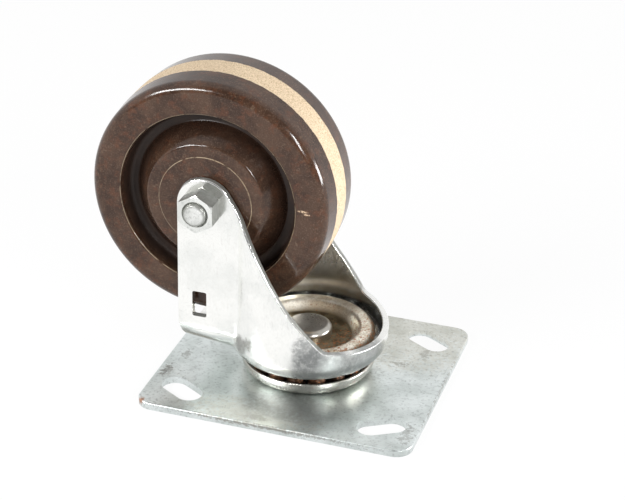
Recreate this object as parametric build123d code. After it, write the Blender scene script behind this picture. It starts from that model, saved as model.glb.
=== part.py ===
from build123d import *
import os
from math import acos, asin, atan2, cos, degrees, pi, radians, sin, sqrt, tan

# Heavy duty swivel castor, standing on its mounting plate with the wheel up.
# Millimetres. The origin is the centre of the plate's underside, on the swivel axis.
# X runs along the plate's long side, the wheel trails towards -X, and Z points up.

# Mounting plate, with four slanted slots that take two standard bolt patterns
PLATE_LENGTH = 114.3
PLATE_WIDTH = 101.6
PLATE_THICKNESS = 3.0
PLATE_CORNER_RADIUS = 7.0
PLATE_EDGE_ROUND = 0.6
SLOT_WIDTH = 11.1
SLOT_MARGIN_X = 11.1
SLOT_MARGIN_Y = 12.7
SLOT_TRAVEL_X = 7.94
SLOT_TRAVEL_Y = 4.76

# Ball rows of the swivel bearing
MAIN_BALL_DIAMETER = 7.94
MAIN_ROW_RADIUS = 22.0
CAP_BALL_DIAMETER = 6.35
CAP_ROW_RADIUS = 23.2
BALL_SPACING_GAP = 0.1
TRACK_CLEARANCE = 0.05

# Pressed dish on the plate that holds the main balls
RACE_SHEET = 1.5
RACE_RIM_ABOVE_CENTRE = 0.9
RACE_EDGE_ROUND = 0.5

# Kingpin, riveted flush under the plate and domed over the cap
KINGPIN_RADIUS = 8.0
KINGPIN_FOOT_FLARE = 2.5
KINGPIN_NECK_RADIUS = 6.0
KINGPIN_HEAD_OVERHANG = 3.6
KINGPIN_HEAD_HEIGHT = 4.4
KINGPIN_HEAD_ROUND = 2.2
PIN_FIT = 0.02

# Cap over the upper ball row
CAP_SHEET = 1.5
CAP_CENTRE_DROP = 4.0
CAP_RIM_ANGLE = 52.0
CAP_RIM_RUN = 3.0
CAP_SLOPE_ANGLE = 48.0
CAP_BEND = 1.6
CAP_EDGE_ROUND = 0.5

# Fork, drawn and folded from one sheet
FORK_SHEET = 2.8
FORK_HOLE_CLEARANCE = 4.0
LOWER_TRACK_DEPTH = 0.75
UPPER_TRACK_DEPTH = 0.2
BOWL_WALL_GAP = 2.3
BOWL_INSIDE_CORNER = 5.2
BOWL_DEPTH = 8.8
REAR_FLOOR_STEP = 0.2
REAR_FLOOR_SLOPE = 6.2
LEG_FOLD_RADIUS = 4.0
FLOOR_FOLD_INSIDE = 8.0
LEG_END_RADIUS = 11.5
LEG_END_FORWARD = 0.8
FRONT_CUT_BEND = 0.5
FRONT_CUT_BEND_RISE = 20.6
FRONT_CUT_BEND_ROUND = 60.0
FRONT_CUT_FOOT = 15.2
FRONT_CUT_FOOT_RISE = 3.0
FRONT_CUT_FOOT_ROUND = 4.0
CUT_EDGE_ROUND = 0.6
REAR_CORNER_WIDTH = 2.3
REAR_CORNER_HEIGHT = 10.0
BRAKE_HOLE_WIDTH = 6.0
BRAKE_HOLE_HEIGHT = 11.3
BRAKE_HOLE_FROM_BACK = 6.3
BRAKE_HOLE_ABOVE_FLOOR = 10.8
BRAKE_HOLE_CORNER = 0.8

# Axle and wheel bearing
AXLE_OFFSET = 37.6
BOLT_DIAMETER = 9.5
BOLT_CLEARANCE = 0.1
HEX_ACROSS_FLATS = 14.29
NUT_HEIGHT = 8.0
BOLT_HEAD_HEIGHT = 6.0
BOLT_END_PROUD = 1.4
BOLT_END_ROUND = 1.2
HEX_SIDES = 6
HEX_CHAMFER = 0.9
HEX_CHAMFER_ANGLE = 27.0
NUT_COUNTERSINK = 0.7
BUSHING_WALL = 1.5
ROLLER_DIAMETER = 3.18
ROLLER_COUNT = 8
ROLLER_CLEARANCE = 0.03
CAGE_WALL = 1.5
CAGE_POCKET_CLEARANCE = 0.1
CAGE_END_RING = 1.5
CAGE_WASHER_GAP = 0.3
SLEEVE_WALL = 1.5
WASHER_THICKNESS = 1.2
WASHER_RECESS = 0.2
WASHER_CLEARANCE = 0.08

# Wheel
WHEEL_RADIUS = 50.0
WHEEL_FLOOR_GAP = 10.6
HUB_LENGTH = 40.6
HUB_SIDE_GAP = 0.4
HUB_RADIUS = 24.4
HUB_BOSS_RADIUS = 19.4
HUB_BOSS_STEP = 0.3
HUB_EDGE_ROUND = 1.6
RIM_HALF_WIDTH = 18.6
RIM_INSIDE_RADIUS = 36.6
RIM_EDGE_ROUND = 1.0
GROOVE_DEPTH = 7.6
GROOVE_HUB_SLOPE = 7.0
GROOVE_RIM_SLOPE = 1.4
GROOVE_BOTTOM_ROUND = 2.0
GROOVE_ROUND_LIMIT = 0.48
SHOULDER_ROUND = 4.5
TREAD_DRAFT = 0.9
GROUND_STRIP_HALF_WIDTH = 5.9

# Heights of the swivel bearing, stacked up from the plate
MAIN_TRACK_RADIUS = MAIN_BALL_DIAMETER / 2 + TRACK_CLEARANCE
CAP_TRACK_RADIUS = CAP_BALL_DIAMETER / 2 + TRACK_CLEARANCE
MAIN_BALL_HEIGHT = PLATE_THICKNESS + RACE_SHEET + MAIN_TRACK_RADIUS
BOWL_UNDERSIDE = MAIN_BALL_HEIGHT + MAIN_TRACK_RADIUS - LOWER_TRACK_DEPTH
BOWL_FLOOR = BOWL_UNDERSIDE + FORK_SHEET
CAP_BALL_HEIGHT = BOWL_FLOOR - UPPER_TRACK_DEPTH + CAP_TRACK_RADIUS
CAP_CREST = CAP_BALL_HEIGHT + CAP_TRACK_RADIUS + CAP_SHEET
CAP_CENTRE_TOP = CAP_CREST - CAP_CENTRE_DROP
CAP_CENTRE_UNDERSIDE = CAP_CENTRE_TOP - CAP_SHEET

# Plan and heights of the fork, worked out from what it holds
CAP_MIDDLE_RADIUS = CAP_TRACK_RADIUS + CAP_SHEET / 2
CAP_RIM_CORNER = CAP_ROW_RADIUS + CAP_MIDDLE_RADIUS * tan(radians(CAP_RIM_ANGLE / 2))
CAP_RIM_RADIUS = CAP_RIM_CORNER + CAP_RIM_RUN * cos(radians(CAP_RIM_ANGLE)) + CAP_SHEET / 2
BOWL_INSIDE_RADIUS = CAP_RIM_RADIUS + BOWL_WALL_GAP
BOWL_OUTSIDE_RADIUS = BOWL_INSIDE_RADIUS + FORK_SHEET
BOWL_RIM = BOWL_FLOOR + BOWL_DEPTH
LEG_INSIDE = HUB_LENGTH / 2 + HUB_SIDE_GAP
LEG_OUTSIDE = LEG_INSIDE + FORK_SHEET
LEG_END_X = -AXLE_OFFSET + LEG_END_FORWARD
FORK_BACK = LEG_END_X - LEG_END_RADIUS
FLOOR_BACK = FORK_BACK + REAR_CORNER_WIDTH
REAR_FLOOR_RISE = REAR_FLOOR_STEP - FLOOR_BACK * tan(radians(REAR_FLOOR_SLOPE))
REAR_UNDERSIDE = BOWL_UNDERSIDE + REAR_FLOOR_RISE
REAR_FLOOR = REAR_UNDERSIDE + FORK_SHEET
AXLE_HEIGHT = REAR_FLOOR + WHEEL_FLOOR_GAP + WHEEL_RADIUS

# Radii of the roller bearing, from the bolt outwards
BOLT_HOLE_RADIUS = BOLT_DIAMETER / 2 + BOLT_CLEARANCE
BUSHING_RADIUS = BOLT_HOLE_RADIUS + BUSHING_WALL
ROLLER_ROW_RADIUS = BUSHING_RADIUS + ROLLER_CLEARANCE + ROLLER_DIAMETER / 2
SLEEVE_INSIDE_RADIUS = ROLLER_ROW_RADIUS + ROLLER_DIAMETER / 2 + ROLLER_CLEARANCE
SLEEVE_OUTSIDE_RADIUS = SLEEVE_INSIDE_RADIUS + SLEEVE_WALL

# Lengths of the roller bearing, from the hub's face inwards
WASHER_OUTER_FACE = HUB_LENGTH / 2 - WASHER_RECESS
WASHER_INNER_FACE = WASHER_OUTER_FACE - WASHER_THICKNESS
CAGE_END = WASHER_INNER_FACE - CAGE_WASHER_GAP
POCKET_END = CAGE_END - CAGE_END_RING
ROLLER_END = POCKET_END - CAGE_POCKET_CLEARANCE

# Pieces on the axle are drawn about Z, with Z towards the nut, and then laid along the axle
AXLE = Pos(-AXLE_OFFSET, 0, AXLE_HEIGHT) * Rot(90, 0, 0)


def turned(outline):
    """Turn an outline drawn as (radius, height) about Z."""
    return revolve(Plane.XZ * outline, Axis.Z)


def ring(inside, outside, bottom, top):
    """Plain ring about Z between two radii and two heights."""
    height = top - bottom
    return Pos(0, 0, bottom) * extrude(Circle(outside) - Circle(inside), height)


def rounded(outline, point, radius):
    """Round the corner of an outline that lies nearest to a point."""
    corner = outline.vertices().sort_by_distance(Vector(*point))[0]
    return fillet(corner, radius)


def ball_count(ball_diameter, row_radius):
    """Balls that fill a row, a small gap apart."""
    half_pitch = asin((ball_diameter + BALL_SPACING_GAP) / 2 / row_radius)
    return int(pi / half_pitch)


def around(row_radius, count, index):
    """Place of one piece in a row round Z."""
    angle = 2 * pi * index / count
    return Pos(row_radius * cos(angle), row_radius * sin(angle), 0)


def mounting_plate():
    """Pressed plate, slots slanted from the wide to the square bolt pattern."""
    outline = RectangleRounded(PLATE_LENGTH, PLATE_WIDTH, PLATE_CORNER_RADIUS)
    plate = extrude(outline, PLATE_THICKNESS)
    plate = fillet(plate.edges().group_by(Axis.Z)[-1], PLATE_EDGE_ROUND)
    far_x = PLATE_LENGTH / 2 - SLOT_MARGIN_X
    far_y = PLATE_WIDTH / 2 - SLOT_MARGIN_Y
    slot_path = Line((far_x - SLOT_TRAVEL_X, far_y), (far_x, far_y - SLOT_TRAVEL_Y))
    slot = extrude(SlotCenterToCenter(slot_path.length, SLOT_WIDTH), PLATE_THICKNESS)
    slant = degrees(atan2(-SLOT_TRAVEL_Y, SLOT_TRAVEL_X))
    slot = Pos(*(slot_path @ 0.5)) * Rot(0, 0, slant) * slot
    slots = [slot, mirror(slot, Plane.YZ)]
    slots += [mirror(one, Plane.XZ) for one in slots]
    foot = Cone(
        KINGPIN_RADIUS + KINGPIN_FOOT_FLARE + PIN_FIT,
        KINGPIN_RADIUS + PIN_FIT,
        KINGPIN_FOOT_FLARE,
        align=(Align.CENTER, Align.CENTER, Align.MIN),
    )
    hole = extrude(Circle(KINGPIN_RADIUS + PIN_FIT), PLATE_THICKNESS)
    return plate - slots - foot - hole


def plate_race():
    """Dish whose rounded corner is the track of the main balls."""
    middle = RACE_SHEET / 2
    bend = MAIN_TRACK_RADIUS + middle
    floor = PLATE_THICKNESS + middle
    wall = MAIN_ROW_RADIUS + bend
    rim = MAIN_BALL_HEIGHT + RACE_RIM_ABOVE_CENTRE
    path = FilletPolyline(
        (KINGPIN_RADIUS + PIN_FIT, floor),
        (wall, floor),
        (wall, rim),
        radius=bend,
    )
    section = trace(path, RACE_SHEET)
    for side in (-1, 1):
        section = rounded(section, (wall + side * middle, rim), RACE_EDGE_ROUND)
    return turned(section)


def kingpin():
    """Pin with a flush foot, a shoulder under the cap and a domed head."""
    head_radius = KINGPIN_NECK_RADIUS + KINGPIN_HEAD_OVERHANG
    top = CAP_CENTRE_TOP + KINGPIN_HEAD_HEIGHT
    outline = Polygon(
        (0, 0),
        (KINGPIN_RADIUS + KINGPIN_FOOT_FLARE, 0),
        (KINGPIN_RADIUS, KINGPIN_FOOT_FLARE),
        (KINGPIN_RADIUS, CAP_CENTRE_UNDERSIDE),
        (KINGPIN_NECK_RADIUS, CAP_CENTRE_UNDERSIDE),
        (KINGPIN_NECK_RADIUS, CAP_CENTRE_TOP),
        (head_radius, CAP_CENTRE_TOP),
        (head_radius, top),
        (0, top),
        align=None,
    )
    return turned(rounded(outline, (head_radius, top), KINGPIN_HEAD_ROUND))


def race_cap():
    """Cap with a flat-topped ridge over the upper balls and a sunk centre."""
    ridge = CAP_BALL_HEIGHT + CAP_MIDDLE_RADIUS
    floor = CAP_CENTRE_TOP - CAP_SHEET / 2
    inner_corner = CAP_ROW_RADIUS - CAP_MIDDLE_RADIUS * tan(radians(CAP_SLOPE_ANGLE / 2))
    slope_run = (ridge - floor) / tan(radians(CAP_SLOPE_ANGLE))
    across, along = sin(radians(CAP_RIM_ANGLE)), cos(radians(CAP_RIM_ANGLE))
    rim_radius = CAP_RIM_CORNER + CAP_RIM_RUN * along
    rim_height = ridge - CAP_RIM_RUN * across
    path = FilletPolyline(
        (rim_radius, rim_height),
        (CAP_RIM_CORNER, ridge),
        (inner_corner, ridge),
        (inner_corner - slope_run, floor),
        (KINGPIN_NECK_RADIUS + PIN_FIT, floor),
        radius=CAP_BEND,
    )
    section = trace(path, CAP_SHEET)
    for side in (-CAP_SHEET / 2, CAP_SHEET / 2):
        corner = (rim_radius + side * across, rim_height + side * along)
        section = rounded(section, corner, CAP_EDGE_ROUND)
    return turned(section)


def fork_space(inset):
    """Space inside one face of the fork's sheet, its outer face where inset is zero."""
    top = AXLE_HEIGHT + 2 * LEG_END_RADIUS
    back = 2 * FORK_BACK
    slope = tan(radians(REAR_FLOOR_SLOPE))
    floor_back = REAR_UNDERSIDE + inset / cos(radians(REAR_FLOOR_SLOPE))
    side = Polygon(
        (back, floor_back + (FLOOR_BACK - back) * slope),
        (0, floor_back + FLOOR_BACK * slope),
        (0, top),
        (back, top),
        align=None,
    )
    rear = extrude(Plane.XZ * side, LEG_OUTSIDE - inset, both=True)
    floor_edges = rear.faces().sort_by(Axis.Z)[0].edges().filter_by(Axis.Y, reverse=True)
    rear = fillet(floor_edges, FLOOR_FOLD_INSIDE + FORK_SHEET - inset)
    radius = BOWL_OUTSIDE_RADIUS - inset
    bottom = BOWL_UNDERSIDE + inset
    section = Polygon((0, bottom), (radius, bottom), (radius, top), (0, top), align=None)
    bowl = turned(rounded(section, (radius, bottom), BOWL_INSIDE_CORNER + FORK_SHEET - inset))
    space = rear + bowl
    creases = new_edges(rear, bowl, combined=space)
    return fillet(creases, LEG_FOLD_RADIUS + inset)


def fork_side():
    """Side view of the fork: leg end, bent front cut, sloped rim and straight back."""
    end_x, end_z = LEG_END_X, AXLE_HEIGHT
    bend_x, bend_z = FRONT_CUT_BEND, BOWL_RIM + FRONT_CUT_BEND_RISE
    foot_x, foot_z = FRONT_CUT_FOOT, BOWL_RIM + FRONT_CUT_FOOT_RISE
    reach = sqrt((bend_x - end_x) ** 2 + (bend_z - end_z) ** 2)
    towards_bend = atan2(bend_z - end_z, bend_x - end_x)
    touch = towards_bend + acos(LEG_END_RADIUS / reach)
    rim_slope = FRONT_CUT_FOOT_RISE / (BOWL_OUTSIDE_RADIUS - foot_x)
    front = 2 * BOWL_OUTSIDE_RADIUS
    outline = Polygon(
        (FORK_BACK, 0),
        (FORK_BACK, end_z),
        (end_x, end_z),
        (end_x + LEG_END_RADIUS * cos(touch), end_z + LEG_END_RADIUS * sin(touch)),
        (bend_x, bend_z),
        (foot_x, foot_z),
        (front, foot_z - (front - foot_x) * rim_slope),
        (front, 0),
        align=None,
    )
    outline = outline + Pos(end_x, end_z) * Circle(LEG_END_RADIUS)
    outline = rounded(outline, (bend_x, bend_z), FRONT_CUT_BEND_ROUND)
    outline = rounded(outline, (foot_x, foot_z), FRONT_CUT_FOOT_ROUND)
    return extrude(Plane.XZ * outline, 2 * BOWL_OUTSIDE_RADIUS, both=True)


def rear_corners():
    """Wedge cut off behind the slanted lower corners of the legs."""
    outline = Polygon(
        (FLOOR_BACK, REAR_UNDERSIDE),
        (FORK_BACK, REAR_UNDERSIDE + REAR_CORNER_HEIGHT),
        (2 * FORK_BACK, REAR_UNDERSIDE + REAR_CORNER_HEIGHT),
        (2 * FORK_BACK, 0),
        (FLOOR_BACK, 0),
        align=None,
    )
    return extrude(Plane.XZ * outline, 2 * LEG_OUTSIDE, both=True)


def fork():
    """One sheet: bowl with a ball track on each face, rear floor and two legs."""
    shell = fork_space(0) - fork_space(FORK_SHEET)
    side = fork_side()
    sheet = shell & side
    sheet = fillet(new_edges(shell, side, combined=sheet), CUT_EDGE_ROUND)
    sheet -= rear_corners()
    sheet -= Pos(0, 0, MAIN_BALL_HEIGHT) * Torus(MAIN_ROW_RADIUS, MAIN_TRACK_RADIUS)
    sheet -= Pos(0, 0, CAP_BALL_HEIGHT) * Torus(CAP_ROW_RADIUS, CAP_TRACK_RADIUS)
    hole_radius = KINGPIN_RADIUS + FORK_HOLE_CLEARANCE
    sheet -= extrude(Circle(hole_radius), REAR_FLOOR)
    sheet -= AXLE * extrude(Circle(BOLT_HOLE_RADIUS), 2 * LEG_OUTSIDE, both=True)
    brake_hole = RectangleRounded(BRAKE_HOLE_WIDTH, BRAKE_HOLE_HEIGHT, BRAKE_HOLE_CORNER)
    brake_x = FORK_BACK + BRAKE_HOLE_FROM_BACK + BRAKE_HOLE_WIDTH / 2
    brake_z = REAR_FLOOR + BRAKE_HOLE_ABOVE_FLOOR + BRAKE_HOLE_HEIGHT / 2
    brake_hole = Plane.XZ * Pos(brake_x, brake_z) * brake_hole
    sheet -= extrude(brake_hole, 2 * LEG_OUTSIDE, both=True)
    return sheet


def hexagon(height):
    """Hexagon with its corners chamfered at both ends, one corner upwards."""
    outline = RegularPolygon(
        HEX_ACROSS_FLATS / 2, HEX_SIDES, major_radius=False, rotation=180 / HEX_SIDES
    )
    corner_radius = HEX_ACROSS_FLATS / 2 / cos(pi / HEX_SIDES)
    chamfer_height = HEX_CHAMFER * tan(radians(HEX_CHAMFER_ANGLE))
    cutter = extrude(Circle(corner_radius), height)
    ends = cutter.edges().filter_by(GeomType.CIRCLE)
    return extrude(outline, height) & chamfer(ends, chamfer_height, HEX_CHAMFER)


def axle_bolt():
    """Through bolt, head on the far leg, rounded end just past the nut."""
    end = LEG_OUTSIDE + NUT_HEIGHT + BOLT_END_PROUD
    shank = Pos(0, 0, -LEG_OUTSIDE) * extrude(Circle(BOLT_DIAMETER / 2), LEG_OUTSIDE + end)
    shank = fillet(shank.edges().group_by(Axis.Z)[-1], BOLT_END_ROUND)
    head = Pos(0, 0, -LEG_OUTSIDE - BOLT_HEAD_HEIGHT) * hexagon(BOLT_HEAD_HEIGHT)
    return AXLE * (shank + head)


def axle_nut():
    """Hexagon nut on the near leg, its bore countersunk at the outer face."""
    bore = extrude(Circle(BOLT_DIAMETER / 2 + PIN_FIT), NUT_HEIGHT)
    nut = hexagon(NUT_HEIGHT) - bore
    countersink = Pos(0, 0, NUT_HEIGHT - NUT_COUNTERSINK) * Cone(
        BOLT_DIAMETER / 2,
        BOLT_DIAMETER / 2 + NUT_COUNTERSINK,
        NUT_COUNTERSINK,
        align=(Align.CENTER, Align.CENTER, Align.MIN),
    )
    return AXLE * Pos(0, 0, LEG_OUTSIDE) * (nut - countersink)


def spanner_bushing():
    """Tube clamped between the legs, the rollers' inner track."""
    return AXLE * ring(BOLT_HOLE_RADIUS, BUSHING_RADIUS, -LEG_INSIDE, LEG_INSIDE)


def bearing_washer(side):
    """Washer on the bushing that closes one end of the roller bearing."""
    inside = BUSHING_RADIUS + WASHER_CLEARANCE
    outside = SLEEVE_INSIDE_RADIUS - WASHER_CLEARANCE
    washer = ring(inside, outside, WASHER_INNER_FACE, WASHER_OUTER_FACE)
    return AXLE * (washer if side > 0 else mirror(washer, Plane.XY))


def bearing_sleeve():
    """Steel sleeve in the wheel's bore, the rollers' outer track."""
    half = HUB_LENGTH / 2
    return AXLE * ring(SLEEVE_INSIDE_RADIUS, SLEEVE_OUTSIDE_RADIUS, -half, half)


def roller_cage():
    """Tube with a pocket for each roller."""
    inside = ROLLER_ROW_RADIUS - CAGE_WALL / 2
    cage = ring(inside, inside + CAGE_WALL, -CAGE_END, CAGE_END)
    pocket_width = ROLLER_DIAMETER + 2 * CAGE_POCKET_CLEARANCE
    pocket = Pos(ROLLER_ROW_RADIUS, 0, 0) * Box(2 * CAGE_WALL, pocket_width, 2 * POCKET_END)
    for index in range(ROLLER_COUNT):
        cage -= Rot(0, 0, 360 * index / ROLLER_COUNT) * pocket
    return AXLE * cage


def roller(index):
    """One roller in its pocket."""
    pin = extrude(Circle(ROLLER_DIAMETER / 2), ROLLER_END, both=True)
    return AXLE * around(ROLLER_ROW_RADIUS, ROLLER_COUNT, index) * pin


def wheel():
    """Moulded wheel: long hub, round-bottomed groove in each face, wide rim."""
    hub_face = HUB_LENGTH / 2
    hub_edge = hub_face - HUB_BOSS_STEP
    groove_bottom = RIM_HALF_WIDTH - GROOVE_DEPTH
    side_radius = WHEEL_RADIUS - TREAD_DRAFT
    hub_foot = HUB_RADIUS + GROOVE_HUB_SLOPE
    rim_foot = RIM_INSIDE_RADIUS - GROOVE_RIM_SLOPE
    bottom_round = min(GROOVE_BOTTOM_ROUND, GROOVE_ROUND_LIMIT * (rim_foot - hub_foot))
    half = Polygon(
        (SLEEVE_OUTSIDE_RADIUS, 0),
        (SLEEVE_OUTSIDE_RADIUS, hub_face),
        (HUB_BOSS_RADIUS, hub_face),
        (HUB_BOSS_RADIUS, hub_edge),
        (HUB_RADIUS, hub_edge),
        (hub_foot, groove_bottom),
        (rim_foot, groove_bottom),
        (RIM_INSIDE_RADIUS, RIM_HALF_WIDTH),
        (side_radius, RIM_HALF_WIDTH),
        (WHEEL_RADIUS, GROUND_STRIP_HALF_WIDTH),
        (WHEEL_RADIUS, 0),
        align=None,
    )
    half = rounded(half, (side_radius, RIM_HALF_WIDTH), SHOULDER_ROUND)
    half = rounded(half, (HUB_RADIUS, hub_edge), HUB_EDGE_ROUND)
    half = rounded(half, (RIM_INSIDE_RADIUS, RIM_HALF_WIDTH), RIM_EDGE_ROUND)
    half = rounded(half, (hub_foot, groove_bottom), bottom_round)
    half = rounded(half, (rim_foot, groove_bottom), bottom_round)
    return AXLE * turned(half + mirror(half, Plane.XZ))


def ball_row(name, diameter, row_radius, height):
    """Named balls of one full row round the kingpin."""
    count = ball_count(diameter, row_radius)
    ball = Pos(0, 0, height) * Sphere(diameter / 2)
    return {
        f"{name}_{index + 1:02d}": around(row_radius, count, index) * ball
        for index in range(count)
    }


def all_pieces():
    """Every piece of the castor by its node's name."""
    pieces = {
        "mounting_plate": mounting_plate(),
        "plate_race": plate_race(),
        "kingpin": kingpin(),
        "race_cap": race_cap(),
        "fork": fork(),
        "axle_bolt": axle_bolt(),
        "axle_nut": axle_nut(),
        "spanner_bushing": spanner_bushing(),
        "bearing_washer_near": bearing_washer(1),
        "bearing_washer_far": bearing_washer(-1),
        "bearing_sleeve": bearing_sleeve(),
        "wheel": wheel(),
        "roller_cage": roller_cage(),
    }
    for index in range(ROLLER_COUNT):
        pieces[f"roller_{index + 1:02d}"] = roller(index)
    pieces |= ball_row("main_ball", MAIN_BALL_DIAMETER, MAIN_ROW_RADIUS, MAIN_BALL_HEIGHT)
    pieces |= ball_row("cap_ball", CAP_BALL_DIAMETER, CAP_ROW_RADIUS, CAP_BALL_HEIGHT)
    return pieces


os.makedirs("parts", exist_ok=True)
for node, piece in all_pieces().items():
    export_step(piece, f"parts/{node}.step")
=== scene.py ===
import bpy
from math import cos, radians, sin
from mathutils import Matrix, Quaternion, Vector


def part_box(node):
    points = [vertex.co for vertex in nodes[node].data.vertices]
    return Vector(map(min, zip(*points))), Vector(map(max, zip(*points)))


# Looks of the swivel castor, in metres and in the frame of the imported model.
# Inside the materials, places and sizes are in millimetres.

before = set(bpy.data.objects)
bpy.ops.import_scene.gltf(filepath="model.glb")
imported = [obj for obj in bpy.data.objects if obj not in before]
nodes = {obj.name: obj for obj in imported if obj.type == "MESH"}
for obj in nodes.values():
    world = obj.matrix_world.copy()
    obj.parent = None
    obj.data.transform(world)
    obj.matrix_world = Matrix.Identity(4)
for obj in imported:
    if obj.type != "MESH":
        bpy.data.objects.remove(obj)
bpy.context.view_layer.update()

MM = 0.001

# Camera, fitted to the photograph's plate corners and slots
IMAGE_WIDTH, IMAGE_HEIGHT = 625, 500
FOCAL_PIXELS = 1981.2
SENSOR_WIDTH = 36.0
CAMERA_AZIMUTH = radians(17.353)
CAMERA_ELEVATION = radians(27.594)
CAMERA_ROLL = radians(1.265)
CAMERA_DISTANCE = 0.79537
TARGET = Vector((0, 0, 0.0595))
TARGET_PIXEL = (310.74, 242.95)

# Light from all round, and the dim room that the metal mirrors on the near leg's side
FILL_LEVEL = 0.5
ROOM_LEVEL = 0.12
ROOM_SIDE = (0.3, -0.954, 0)

# Floor, mostly plain white to the camera, with the rest left for a soft shadow
FLOOR_SIZE = 12.0
FLOOR_WHITE_SHARE = 0.92
FLOOR_GREY = (0.82, 0.82, 0.82, 1)
WHITE = (1, 1, 1, 1)


def colour(red, green, blue):
    """Linear colour from the 0 to 255 values of a picture."""
    values = [value / 255 for value in (red, green, blue)]
    linear = [v / 12.92 if v <= 0.04045 else ((v + 0.055) / 1.055) ** 2.4 for v in values]
    return (*linear, 1.0)


# Grey also paints dark reflection, and dirt also paints shade, in the fork's marks
GREY_MARK_AND_REFLECTION = colour(128, 130, 130)
DIRT_AND_SHADE = colour(92, 84, 74)
TAN_FILM = colour(186, 170, 138)
BARE_STEEL_AND_SHADE = colour(88, 89, 82)
RUST = colour(164, 100, 52)

# Middle of the axle
AXLE_X = 0.5 / MM * (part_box("axle_nut")[0][0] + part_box("axle_nut")[1][0])
AXLE_Z = 0.5 / MM * (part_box("axle_nut")[0][2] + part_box("axle_nut")[1][2])

# Fades: a mask is 0 at the first value and 1 at the second.
# Direction of a surface, by the size of its normal's parts
NOT_FACING_Y = (0.5, 0.3)
FACING_UP = (0.25, 0.45)

# Fork: off its rear floor, outside its legs, and round its bowl's rim
BEHIND_BOWL_X = (-24.0, -20.0)
ABOVE_FLOOR_Z = (26.0, 28.0)
LEG_OUTSIDE_Y = (17.5, 19.0)
LEG_FRONT_X = (17.0, 13.0)
RIM_X = (12.0, 15.0)
RIM_Z = (18.0, 19.0)
RIM_STRENGTH = 0.2

# Bolt's rounded end, and the race cap's pocket and skirt, by the distance from their axis; all
# three are painted darker as shade
BOLT_ROUNDING = (3.1, 4.4)
CAP_POCKET = (19.5, 17.0)
CAP_SKIRT = (24.8, 26.4)

# Wheel, by the distance from its middle plane and by the radius about the axle
BELOW_FACE = (20.2, 12.5)
OFF_TREAD = (12.0, 13.0)
TREAD_RADIUS = (48.9, 49.4)

# Wheel's groove, painted darker as shade, and the outer wall in it, each between two radii, and
# its tan strip's half width
GROOVE = (24.5, 37.5)
GROOVE_OUTER_WALL = (31.5, 36.6)
GROOVE_SOFTNESS = 0.8
STRIP_HALF = 5.9
STRIP_SOFTNESS = 0.2

# Pale rings on the wheel's faces, painted highlights along edges, partly pale moulding flash:
# radius, width and strength
EDGE_HIGHLIGHT_AND_FLASH_RINGS = ((19.4, 0.18, 0.8), (36.8, 0.22, 0.5))

# Nicks on the wheel's near face: centre and half sizes
NICKS = (((2.4, -18.6, 82.5), (2.6, 3.0, 0.6)), ((4.0, -18.6, 81.4), (1.6, 3.0, 0.5)))

# Marks on the zinc: colour, centre, half sizes, strength and softness. On the fork most of them
# are painted shade and painted dark reflection.
PLATE_MARKS = (
    (TAN_FILM, (30.0, 44.0, 3), (60, 50, 3), 0.3, 0.15),
    (TAN_FILM, (-8.0, -44.0, 3), (40, 16, 3), 0.25, 0.1),
    (DIRT_AND_SHADE, (-53.5, -24.0, 3), (4, 9, 3), 0.6, 0.05),
    (DIRT_AND_SHADE, (-50.0, -9.0, 3), (3, 7, 3), 0.4, 0.05),
    (DIRT_AND_SHADE, (-38.6, 8.8, 3), (9, 3, 3), 0.3, 0.05),
    (DIRT_AND_SHADE, (-7.0, -46.0, 3), (7, 4, 3), 0.4, 0.1),
    (GREY_MARK_AND_REFLECTION, (4.0, -35.0, 3), (26, 13, 3), 0.6, 0.25),
    (DIRT_AND_SHADE, (36.0, 13.0, 3), (7, 3, 3), 0.35, 0.03),
    (DIRT_AND_SHADE, (44.0, 24.0, 3), (4, 9, 3), 0.3, 0.03),
    (DIRT_AND_SHADE, (53.0, -38.0, 3), (5, 12, 3), 0.35, 0.03),
    (DIRT_AND_SHADE, (0.0, -50.8, 2.2), (60, 1.2, 1.6), 0.5, 0.05),
    (DIRT_AND_SHADE, (57.1, 0.0, 2.2), (1.2, 52, 1.6), 0.5, 0.05),
    (RUST, (-55.0, -48.6, 2.2), (2.6, 2.6, 2.6), 0.8, 0.1),
)
FORK_MARKS_AND_SHADE = (
    # Grey smears on the bowl's front and right: partly galling, partly a painted dark reflection
    # of the room
    (GREY_MARK_AND_REFLECTION, (9.0, -31.5, 27.0), (8, 6, 11), 0.7, 0.15),
    (GREY_MARK_AND_REFLECTION, (15.0, -29.0, 20.0), (17, 14, 13), 0.8, 0.35),
    (GREY_MARK_AND_REFLECTION, (29.0, -14.0, 18.0), (11, 17, 11), 0.8, 0.35),
    # Dark patches in the near leg's crease and crotch, and along the bowl's lower edge: painted
    # shade
    (DIRT_AND_SHADE, (-21.0, -25.0, 22.0), (5, 6, 6), 0.6, 0.2),
    (DIRT_AND_SHADE, (-16.5, -28.0, 24.5), (4, 5, 4), 0.6, 0.12),
    (DIRT_AND_SHADE, (-11.5, -30.5, 19.0), (3, 5, 6), 0.4, 0.08),
    (DIRT_AND_SHADE, (-18.0, -27.5, 15.5), (9, 6, 3), 0.5, 0.2),
    # Darker inside of the far leg: painted shade and painted dark reflection
    (DIRT_AND_SHADE, (0.0, 23.5, 44.0), (27, 9.3, 34), 0.75, 0.3),
)


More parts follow.
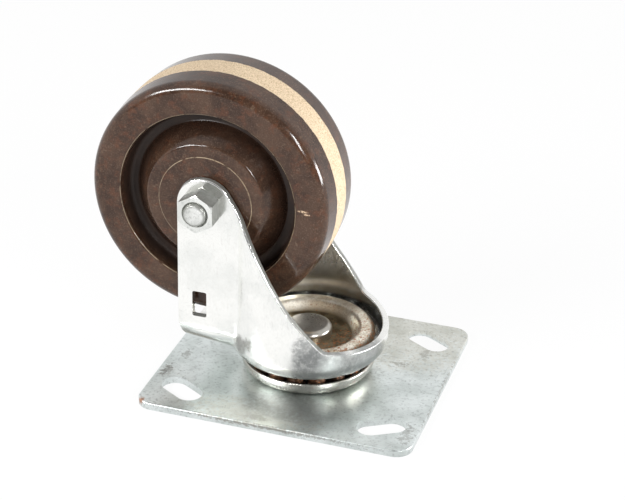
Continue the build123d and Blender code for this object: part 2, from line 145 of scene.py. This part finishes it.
class Graph:
    """Nodes of one material or world, made by short calls."""

    def __init__(self, tree):
        self.tree = tree
        tree.nodes.clear()

    def node(self, kind, inputs=None, **settings):
        """Add a node, set its properties, and set or link its inputs."""
        made = self.tree.nodes.new(kind)
        for name, value in settings.items():
            setattr(made, name, value)
        for key, value in (inputs or {}).items():
            self.feed(made.inputs[key], value)
        return made

    def feed(self, socket, value):
        """Link a socket to another node's output, or set its value."""
        if isinstance(value, bpy.types.NodeSocket):
            self.tree.links.new(value, socket)
        else:
            socket.default_value = value

    def math(self, operation, a, b=0.0, clamp=False):
        inputs = {0: a, 1: b}
        made = self.node("ShaderNodeMath", inputs, operation=operation, use_clamp=clamp)
        return made.outputs[0]

    def times(self, product, *factors):
        """Product of several values."""
        for factor in factors:
            product = self.math("MULTIPLY", product, factor)
        return product

    def vector(self, operation, a, b=(0, 0, 0)):
        made = self.node("ShaderNodeVectorMath", {0: a, 1: b}, operation=operation)
        key = "Value" if operation in ("LENGTH", "DOT_PRODUCT") else "Vector"
        return made.outputs[key]

    def place(self):
        """Object coordinates in millimetres."""
        coordinates = self.node("ShaderNodeTexCoord").outputs["Object"]
        return self.vector("MULTIPLY", coordinates, (1 / MM, 1 / MM, 1 / MM))

    def normal(self):
        """X, Y and Z of the surface's direction, in the object's own axes."""
        return self.split(self.node("ShaderNodeTexCoord").outputs["Normal"])

    def split(self, vector):
        return self.node("ShaderNodeSeparateXYZ", {0: vector}).outputs

    def reach(self, place, centre, size):
        """Distance from a centre, where 1 is the half size along each axis."""
        offset = self.vector("DIVIDE", self.vector("SUBTRACT", place, centre), size)
        return self.vector("LENGTH", offset)

    def noise(self, place, size, detail=3.0, roughness=0.55, distortion=0.0, stretch=(1, 1, 1)):
        """Noise whose features are about size millimetres wide."""
        inputs = {
            "Vector": self.vector("DIVIDE", place, stretch),
            "Scale": 1.0 / size,
            "Detail": detail,
            "Roughness": roughness,
            "Distortion": distortion,
        }
        return self.node("ShaderNodeTexNoise", inputs).outputs["Fac"]

    def step(self, value, low, high):
        """0 below low and 1 above high, smooth between; falls where low is above high."""
        inputs = {"Value": value, "From Min": low, "From Max": high}
        made = self.node("ShaderNodeMapRange", inputs, interpolation_type="SMOOTHSTEP")
        return made.outputs["Result"]

    def band(self, value, low, high, soft):
        """1 between low and high, with soft edges."""
        rise = self.step(value, low - soft, low + soft)
        fall = self.step(value, high + soft, high - soft)
        return self.times(rise, fall)

    def spread(self, value, low, high):
        """Stretch the range 0 to 1 to the range low to high."""
        inputs = {"Value": value, "To Min": low, "To Max": high}
        return self.node("ShaderNodeMapRange", inputs).outputs["Result"]

    def mix(self, factor, a, b):
        """Mix two colours."""
        made = self.node("ShaderNodeMix", {"Factor": factor, 6: a, 7: b}, data_type="RGBA")
        return made.outputs[2]

    def lay(self, base, tint, mask, strength):
        """Lay a tint over a base colour where a mask says."""
        return self.mix(self.times(mask, strength), base, tint)

    def bump(self, height, depth, strength, normal=None):
        """Bump from a height of 0 to 1 that stands for depth millimetres."""
        inputs = {"Height": height, "Distance": depth * MM, "Strength": strength}
        if normal:
            inputs["Normal"] = normal
        return self.node("ShaderNodeBump", inputs).outputs["Normal"]


def new_material(name):
    """A material with an empty graph."""
    material = bpy.data.materials.new(name)
    material.use_nodes = True
    return material, Graph(material.node_tree)


def close(graph, base, metallic, roughness, normal, specular=0.5):
    """End a graph in a Principled shader."""
    inputs = {
        "Base Color": base,
        "Metallic": metallic,
        "Roughness": roughness,
        "Normal": normal,
        "Specular IOR Level": specular,
    }
    shader = graph.node("ShaderNodeBsdfPrincipled", inputs)
    graph.node("ShaderNodeOutputMaterial", {"Surface": shader.outputs[0]})


def about_axle(graph, place):
    """Distance from the axle's line, and from the wheel's middle plane."""
    centred = graph.vector("SUBTRACT", place, (AXLE_X, 0, AXLE_Z))
    radius = graph.vector("LENGTH", graph.vector("MULTIPLY", centred, (1, 0, 1)))
    across = graph.math("ABSOLUTE", graph.split(centred)[1])
    return radius, across


def torn_edge(graph, place):
    """1 on the fork's upward edges, where its sheet was cut, and 0 on its floor and faces."""
    _, normal_y, normal_z = graph.normal()
    x, y, z = graph.split(place)
    along_sheet = graph.step(graph.math("ABSOLUTE", normal_y), *NOT_FACING_Y)
    upward = graph.step(normal_z, *FACING_UP)
    off_floor = graph.math(
        "MAXIMUM", graph.step(x, *BEHIND_BOWL_X), graph.step(z, *ABOVE_FLOOR_Z)
    )
    outside = graph.step(graph.math("ABSOLUTE", y), *LEG_OUTSIDE_Y)
    legs = graph.times(outside, graph.step(x, *LEG_FRONT_X))
    rim = graph.times(graph.step(x, *RIM_X), graph.step(z, *RIM_Z), RIM_STRENGTH)
    edge = graph.times(along_sheet, graph.times(upward, off_floor))
    return graph.times(edge, graph.math("MAXIMUM", legs, rim))


def shaded_nut_flats(graph, _):
    """1 on the flats of the nut, which are painted darker as a dark reflection, and 0 on its face.
    """
    return graph.step(graph.math("ABSOLUTE", graph.normal()[1]), *NOT_FACING_Y)


def shaded_bolt_rim(graph, place):
    """1 round the rounded end of the bolt, where a darker ring is painted as shade, and 0 on its
    middle.
    """
    return graph.step(about_axle(graph, place)[0], *BOLT_ROUNDING)


def add_marks(graph, place, ragged, marks, base, rough):
    """Lay marks over a base colour, with the metal rougher in them; on the fork some of them are
    painted shade and painted dark reflection.
    """
    for tint, centre, size, strength, softness in marks:
        near = graph.step(graph.reach(place, centre, size), 1.0, 0.1)
        level = graph.math("ADD", ragged, graph.times(near, 0.2))
        broken = graph.step(level, 0.66 - 2 * softness, 0.68 + 0.3 * softness)
        mark = graph.times(broken, graph.step(near, 0.0, 0.35), strength)
        base = graph.mix(mark, base, tint)
        rough = graph.math("ADD", rough, graph.times(mark, 0.2))
    return base, rough


def rust_specks(graph, place, strength):
    """Specks of rust, in patches."""
    speck = graph.noise(place, 0.9, detail=3.0, roughness=0.6)
    patch = graph.step(graph.noise(place, 6.0, detail=2.0), 0.38, 0.6)
    return graph.times(graph.step(speck, 0.56, 0.64), patch, strength)


def worn_metal(
    name, light, dark, roughness, streaks=(1, 1, 1), streak_strength=0.3, grain=0.3, rust=0.0,
    dents=0.0, marks=(), dull=None,
):
    """Metal with blotches, streaks, rust specks, dents and dirty marks, some of the marks being
    painted shade and painted dark reflection.

    Streaks gives how far the fine marks are drawn out along each axis, and dents their
    depth in millimetres. A mark's softness is small for specks and large for a smear.
    Dull is a function that says where the metal is made darker and matt: bare steel on the fork's
    cut edges, a painted dark reflection on the nut's flats, and painted shade round the bolt's
    rounded end.
    """
    material, graph = new_material(name)
    place = graph.place()
    cloud = graph.noise(place, 14.0, detail=4.0, roughness=0.6)
    fine = graph.noise(place, 1.3, detail=4.0, roughness=0.65)
    drawn = graph.noise(place, 0.9, detail=3.0, roughness=0.7, stretch=streaks)
    pits = graph.noise(place, 0.9, detail=1.0)
    ragged = graph.noise(place, 1.7, detail=5.0, roughness=0.75)
    base = graph.mix(graph.step(cloud, 0.35, 0.68), light, dark)
    base = graph.lay(base, GREY_MARK_AND_REFLECTION, graph.step(fine, 0.5, 0.72), grain)
    base = graph.lay(base, GREY_MARK_AND_REFLECTION, graph.step(drawn, 0.56, 0.76), streak_strength)
    base = graph.lay(base, DIRT_AND_SHADE, graph.step(pits, 0.74, 0.79), grain)
    rough = graph.spread(cloud, roughness * 0.75, roughness * 1.3)
    rough = graph.math("ADD", rough, graph.spread(drawn, -0.04, 0.06))
    base, rough = add_marks(graph, place, ragged, marks, base, rough)
    metal = 1.0
    if dull:
        # Darker, matt steel: bare on the fork's cut edges; a painted dark reflection on the nut's
        # flats and painted shade round the bolt's end
        matt = graph.times(dull(graph, place), graph.spread(ragged, 0.6, 1.0))
        base = graph.mix(matt, base, BARE_STEEL_AND_SHADE)
        rough = graph.math("ADD", rough, graph.times(matt, 0.2))
        metal = graph.math("SUBTRACT", 1.0, graph.times(matt, 0.6))
    if rust:
        specks = rust_specks(graph, place, rust)
        base = graph.mix(specks, base, RUST)
        rough = graph.math("MAXIMUM", rough, graph.times(specks, 0.8))
        metal = graph.math("SUBTRACT", 1.0, specks)
    normal = graph.bump(cloud, 0.05, 0.6)
    normal = graph.bump(fine, 0.006, 0.8, normal)
    if dents:
        normal = graph.bump(graph.noise(place, 2.6, detail=2.0), dents, 1.0, normal)
    close(graph, base, metal, rough, normal)
    return material


def cap_metal():
    """Race cap: pale ridge, partly its own film and partly a painted highlight; pocket and skirt
    painted darker as shade; and rust, most of it towards +X and -Y.
    """
    material, graph = new_material("cap_zinc")
    place = graph.place()
    x, y, _ = graph.split(place)
    radius = graph.vector("LENGTH", graph.vector("MULTIPLY", place, (1, 1, 0)))
    blotch = graph.noise(place, 5.0, detail=4.0, roughness=0.65)
    fine = graph.noise(place, 0.7, detail=3.0, roughness=0.7)
    speck = graph.noise(place, 1.0, detail=4.0, roughness=0.65)
    # Ridge: its own pale film, lightened further as a painted highlight; pocket: painted shade in
    # the hollow round the kingpin
    ridge = graph.mix(graph.step(blotch, 0.38, 0.64), colour(246, 241, 228), colour(218, 208, 188))
    pocket = graph.mix(graph.step(blotch, 0.4, 0.62), colour(124, 114, 90), colour(84, 72, 50))
    inner_edge = graph.math("ADD", radius, graph.spread(blotch, -1.2, 1.2))
    outer_edge = graph.math("ADD", radius, graph.spread(blotch, -1.0, 1.0))
    base = graph.mix(graph.step(inner_edge, *CAP_POCKET), ridge, pocket)
    # Skirt: painted shade on the cap's outer slope
    base = graph.lay(base, colour(116, 108, 92), graph.step(outer_edge, *CAP_SKIRT), 0.8)
    front = graph.step(graph.math("SUBTRACT", y, x), 10.0, -20.0)
    dirty = graph.spread(front, 0.3, 0.6)
    base = graph.lay(base, colour(120, 104, 80), graph.step(fine, 0.46, 0.66), dirty)
    level = graph.math("ADD", speck, graph.times(front, 0.1))
    rust = graph.times(graph.step(level, 0.61, 0.69), 0.85)
    base = graph.mix(rust, base, RUST)
    metal = graph.math("SUBTRACT", 0.92, rust, clamp=True)
    rough = graph.math("MAXIMUM", graph.spread(fine, 0.28, 0.5), graph.times(rust, 0.8))
    normal = graph.bump(blotch, 0.05, 0.7)
    normal = graph.bump(fine, 0.01, 0.8, normal)
    close(graph, base, metal, rough, normal)
    return material


def ground_strip(graph, place, radius, across):
    """1 on the strip ground round the wheel's tread, with a slightly wavy border."""
    wander = graph.spread(graph.noise(place, 3.0, detail=3.0), -0.5, 0.5)
    edge = graph.math("ADD", across, wander)
    strip = graph.step(edge, STRIP_HALF + STRIP_SOFTNESS, STRIP_HALF - STRIP_SOFTNESS)
    return graph.times(strip, graph.step(radius, *TREAD_RADIUS))


def add_highlight_and_flash_rings(graph, place, radius, across, base):
    """Lay broken pale rings over the colour of the wheel's faces: painted edge highlights, partly
    pale moulding flash.
    """
    broken = graph.step(graph.noise(place, 5.0, detail=3.0, roughness=0.7), 0.34, 0.52)
    for ring_radius, width, strength in EDGE_HIGHLIGHT_AND_FLASH_RINGS:
        ring = graph.band(radius, ring_radius - width / 2, ring_radius + width / 2, width / 2)
        ring = graph.times(ring, broken, strength, graph.step(across, *OFF_TREAD))
        base = graph.mix(ring, base, colour(184, 166, 140))
    return base


def add_nicks(graph, place, grain, base):
    """Lay pale nicks over the colour of the wheel."""
    for centre, size in NICKS:
        nick = graph.step(graph.reach(place, centre, size), 1.0, 0.5)
        nick = graph.times(nick, graph.step(grain, 0.45, 0.55))
        base = graph.mix(nick, base, colour(196, 168, 140))
    return base


def phenolic():
    """Dark brown moulded wheel, mottled, with a tan strip ground round its tread, its groove
    painted darker as shade, and pale rings on its faces that are partly painted edge highlights.
    """
    material, graph = new_material("phenolic")
    place = graph.place()
    radius, across = about_axle(graph, place)
    cloud = graph.noise(place, 11.0, detail=5.0, roughness=0.65)
    fibre = graph.noise(place, 1.6, detail=4.0, roughness=0.7, distortion=0.6)
    red = graph.noise(place, 4.0, detail=4.0, roughness=0.7, distortion=0.4)
    grain = graph.noise(place, 0.6, detail=3.0, roughness=0.7)
    base = graph.mix(graph.step(cloud, 0.35, 0.65), colour(46, 31, 23), colour(66, 48, 37))
    base = graph.lay(base, colour(85, 50, 32), graph.step(red, 0.5, 0.68), 0.5)
    base = graph.lay(base, colour(110, 91, 76), graph.step(fibre, 0.55, 0.75), 0.4)
    base = graph.lay(base, colour(116, 96, 80), graph.step(grain, 0.52, 0.72), 0.35)
    base = graph.lay(base, colour(34, 22, 16), graph.step(grain, 0.46, 0.28), 0.4)
    # The groove is painted darker as shade in the recess
    sunk = graph.step(across, *BELOW_FACE)
    groove = graph.times(sunk, graph.band(radius, *GROOVE, GROOVE_SOFTNESS))
    base = graph.lay(base, colour(28, 17, 12), groove, 0.8)
    strip = ground_strip(graph, place, radius, across)
    tan = graph.mix(graph.step(grain, 0.36, 0.7), colour(216, 196, 168), colour(160, 138, 108))
    base = graph.mix(strip, base, tan)
    # Painted highlights along the face edges, partly pale moulding flash
    base = add_highlight_and_flash_rings(graph, place, radius, across, base)
    base = add_nicks(graph, place, grain, base)
    dull = graph.times(graph.band(radius, *GROOVE_OUTER_WALL, GROOVE_SOFTNESS), sunk)
    rough = graph.math("ADD", graph.spread(fibre, 0.06, 0.22), graph.times(dull, 0.4))
    rough = graph.math("MAXIMUM", rough, graph.times(strip, 0.75))
    normal = graph.bump(cloud, 0.10, 0.6)
    normal = graph.bump(fibre, 0.02, 0.7, normal)
    close(graph, base, 0.0, rough, normal, specular=0.36)
    return material


def dress(material, *names):
    """Give a material to CAD nodes, which keep their shape."""
    for name in names:
        nodes[name].data.materials.clear()
        nodes[name].data.materials.append(material)


def names_of(prefix):
    return [name for name in nodes if name.startswith(prefix)]


def add_camera():
    """Camera at the photograph's viewing angle, with its roll and framing."""
    azimuth, elevation = CAMERA_AZIMUTH, CAMERA_ELEVATION
    back = Vector(
        (sin(azimuth) * cos(elevation), -cos(azimuth) * cos(elevation), sin(elevation))
    )
    level = Vector((cos(azimuth), sin(azimuth), 0))
    upright = back.cross(level)
    right = cos(CAMERA_ROLL) * level + sin(CAMERA_ROLL) * upright
    up = -sin(CAMERA_ROLL) * level + cos(CAMERA_ROLL) * upright
    metres_per_pixel = CAMERA_DISTANCE / FOCAL_PIXELS
    across = (TARGET_PIXEL[0] - IMAGE_WIDTH / 2) * metres_per_pixel
    down = (TARGET_PIXEL[1] - IMAGE_HEIGHT / 2) * metres_per_pixel
    centre = TARGET + back * CAMERA_DISTANCE - right * across + up * down
    data = bpy.data.cameras.new("camera")
    data.sensor_width = SENSOR_WIDTH
    data.lens = FOCAL_PIXELS * SENSOR_WIDTH / IMAGE_WIDTH
    camera = bpy.data.objects.new("camera", data)
    axes = Matrix((right, up, back)).transposed()
    camera.matrix_world = Matrix.Translation(centre) @ axes.to_4x4()
    bpy.context.scene.collection.objects.link(camera)
    bpy.context.scene.camera = camera


def add_floor():
    """Pale floor that stays white to the camera and still takes a soft shadow."""
    bpy.ops.mesh.primitive_plane_add(size=FLOOR_SIZE)
    floor = bpy.context.object
    floor.name = "floor"
    material, graph = new_material("floor")
    path = graph.node("ShaderNodeLightPath").outputs
    seen = graph.times(path["Is Camera Ray"], FLOOR_WHITE_SHARE)
    mirrored = graph.math("MAXIMUM", path["Is Glossy Ray"], path["Is Transmission Ray"])
    share = graph.math("MAXIMUM", seen, mirrored)
    matte = graph.node("ShaderNodeBsdfDiffuse", {"Color": FLOOR_GREY})
    white = graph.node("ShaderNodeEmission", {"Color": WHITE, "Strength": 1.0})
    inputs = {0: share, 1: matte.outputs[0], 2: white.outputs[0]}
    mixed = graph.node("ShaderNodeMixShader", inputs)
    graph.node("ShaderNodeOutputMaterial", {"Surface": mixed.outputs[0]})
    floor.data.materials.append(material)


def add_world():
    """White backdrop behind the castor, and a dim room on the side of its near leg."""
    world = bpy.data.worlds.new("studio")
    world.use_nodes = True
    bpy.context.scene.world = world
    graph = Graph(world.node_tree)
    direction = graph.node("ShaderNodeTexCoord").outputs["Generated"]
    room = graph.step(graph.vector("DOT_PRODUCT", direction, ROOM_SIDE), 0.0, 0.5)
    mirrored = graph.spread(room, 1.0, ROOM_LEVEL)
    path = graph.node("ShaderNodeLightPath").outputs
    straight = graph.math("MAXIMUM", path["Is Camera Ray"], path["Is Transmission Ray"])
    level = graph.node("ShaderNodeMix", {0: path["Is Glossy Ray"], 2: FILL_LEVEL, 3: mirrored})
    strength = graph.math("MAXIMUM", level.outputs[0], straight)
    sky = graph.node("ShaderNodeBackground", {"Color": WHITE, "Strength": strength})
    graph.node("ShaderNodeOutputWorld", {"Surface": sky.outputs[0]})


def add_lamp(name, place, aim, size, watts, roll=0.0):
    """Soft box at a place, facing a point and rolled about that line by some degrees."""
    data = bpy.data.lights.new(name, "AREA")
    data.shape = "RECTANGLE"
    data.size, data.size_y = size
    data.energy = watts
    lamp = bpy.data.objects.new(name, data)
    lamp.location = place
    facing = (Vector(place) - Vector(aim)).to_track_quat("Z", "Y")
    lamp.rotation_euler = (facing @ Quaternion((0, 0, 1), radians(roll))).to_euler()
    bpy.context.scene.collection.objects.link(lamp)


add_camera()
add_floor()
add_world()
add_lamp("key", place=(-0.74, -0.82, 0.68), aim=(0, 0, 0.08), size=(0.80, 0.13), watts=17.0)
add_lamp(
    "fill", place=(0.82, -0.70, 0.58), aim=(0, 0, 0.08), size=(0.09, 0.50), watts=8.0, roll=-38.0
)
add_lamp("rim", place=(1.20, 0.30, 0.18), aim=(0, 0, 0.06), size=(0.50, 0.30), watts=15.0)

dress(
    worn_metal(
        "plate_zinc", colour(222, 228, 227), colour(198, 205, 203), 0.30,
        streaks=(9, 3, 1), grain=0.5, marks=PLATE_MARKS,
    ),
    "mounting_plate",
)
dress(
    worn_metal(
        "fork_zinc", colour(254, 254, 251), colour(242, 243, 240), 0.17,
        streaks=(1, 1, 9), streak_strength=0.12, grain=0.08, marks=FORK_MARKS_AND_SHADE, dull=torn_edge,
    ),
    "fork",
)
dress(
    worn_metal("race_zinc", colour(220, 219, 213), colour(176, 174, 166), 0.26, rust=0.3),
    "plate_race",
)
dress(cap_metal(), "race_cap")
dress(
    worn_metal("pin_zinc", colour(188, 185, 178), colour(160, 156, 148), 0.28, grain=0.1),
    "kingpin",
)
# Nut: its flats painted darker and matt, a painted dark reflection
dress(
    worn_metal("nut_zinc", colour(246, 247, 244), colour(226, 228, 224), 0.26, dull=shaded_nut_flats),
    "axle_nut",
)
# Bolt: a darker, matt ring painted as shade round its rounded end
dress(
    worn_metal(
        "bolt_zinc", colour(248, 249, 246), colour(206, 208, 204), 0.16, dents=0.4, dull=shaded_bolt_rim,
    ),
    "axle_bolt",
)
dress(
    worn_metal("bearing_steel", colour(180, 180, 180), colour(130, 130, 130), 0.25),
    "spanner_bushing", "bearing_washer_near", "bearing_washer_far", "bearing_sleeve",
    "roller_cage", *names_of("roller_0"), *names_of("cap_ball"),
)
# Main balls: rusty, and darkened further as painted shade in the narrow gap between race and cap
dress(
    worn_metal("rusty_ball_steel", colour(84, 62, 46), colour(40, 28, 20), 0.4, rust=0.8),
    *names_of("main_ball"),
)
dress(phenolic(), "wheel")

view = bpy.context.scene.view_settings
view.view_transform = "Standard"
